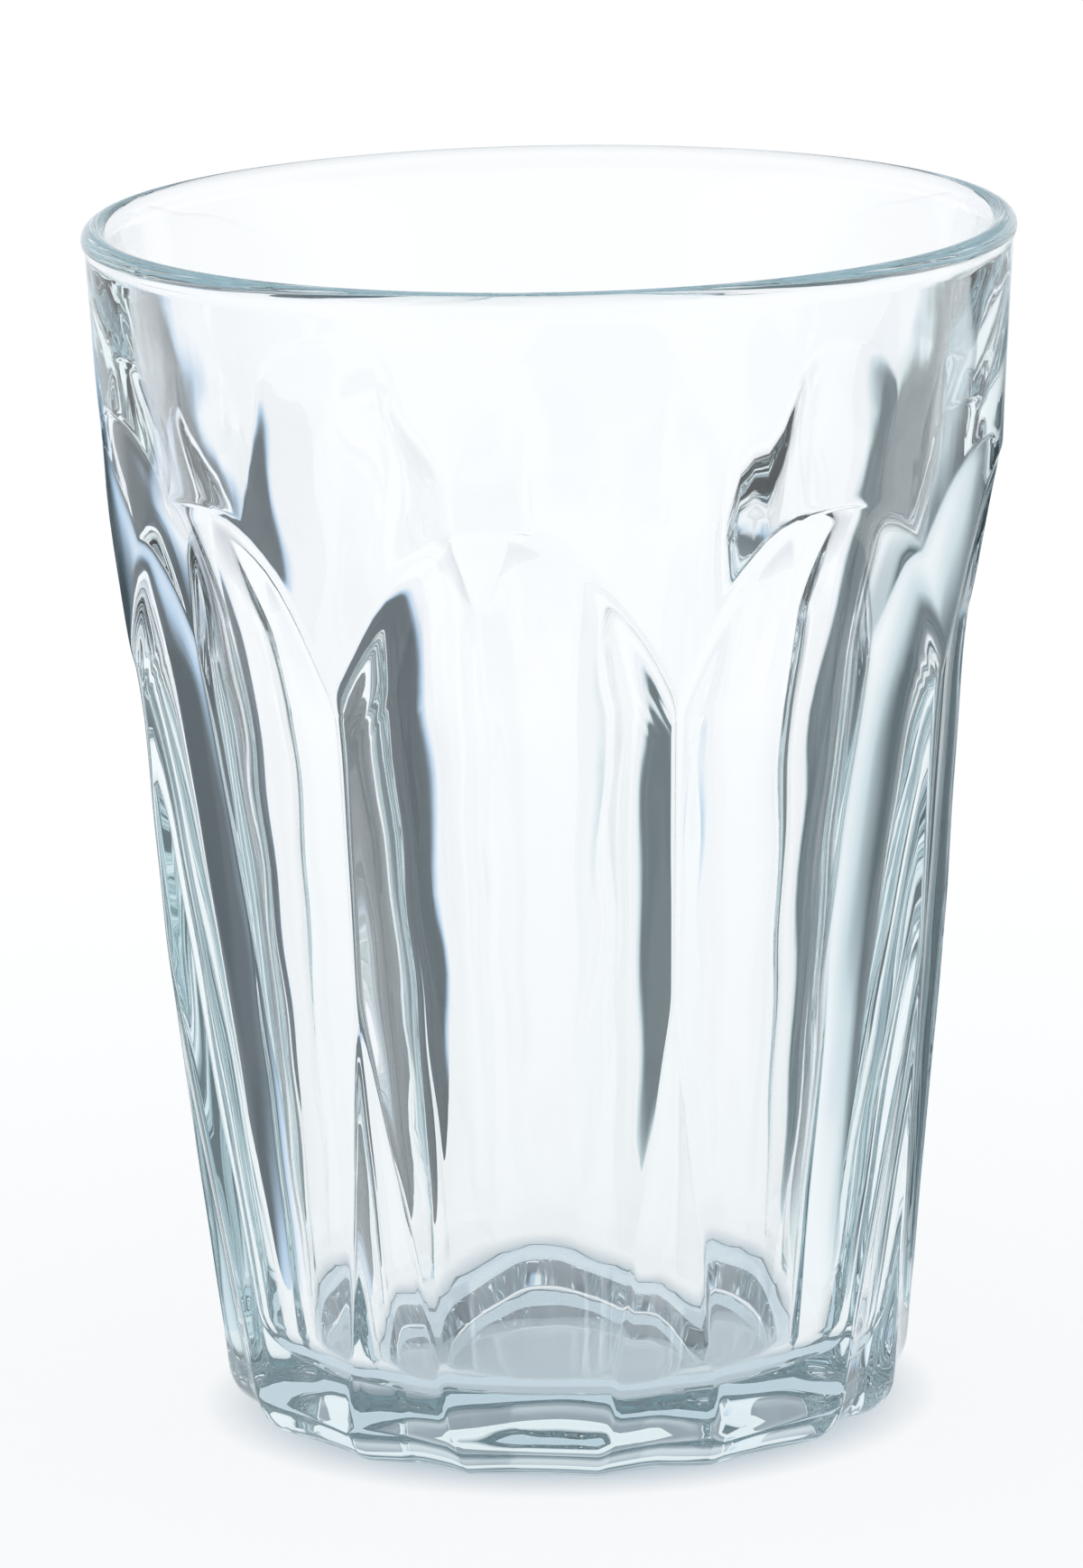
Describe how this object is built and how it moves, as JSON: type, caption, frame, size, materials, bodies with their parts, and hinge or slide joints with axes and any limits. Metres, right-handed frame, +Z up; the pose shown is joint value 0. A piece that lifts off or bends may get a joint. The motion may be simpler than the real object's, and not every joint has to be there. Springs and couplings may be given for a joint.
{
  "type": "tumbler",
  "caption": "Clear pressed-glass drinking tumbler with a rounded rim over a plain band, arched hollow flutes down the tapered wall and V-grooves that part the foot into petals.",
  "frame": {"origin": "middle of the foot, at the level of the surface that the glass stands on", "axes": "+Z up along the axis of the glass, -Y out through the middle of one flute"},
  "size_m": [0.082, 0.082, 0.107],
  "materials": {
    "clear_glass": "clear, fire-polished gloss"
  },
  "bodies": {
    "root": {"glass_body": "clear_glass"}
  },
  "joints": []
}
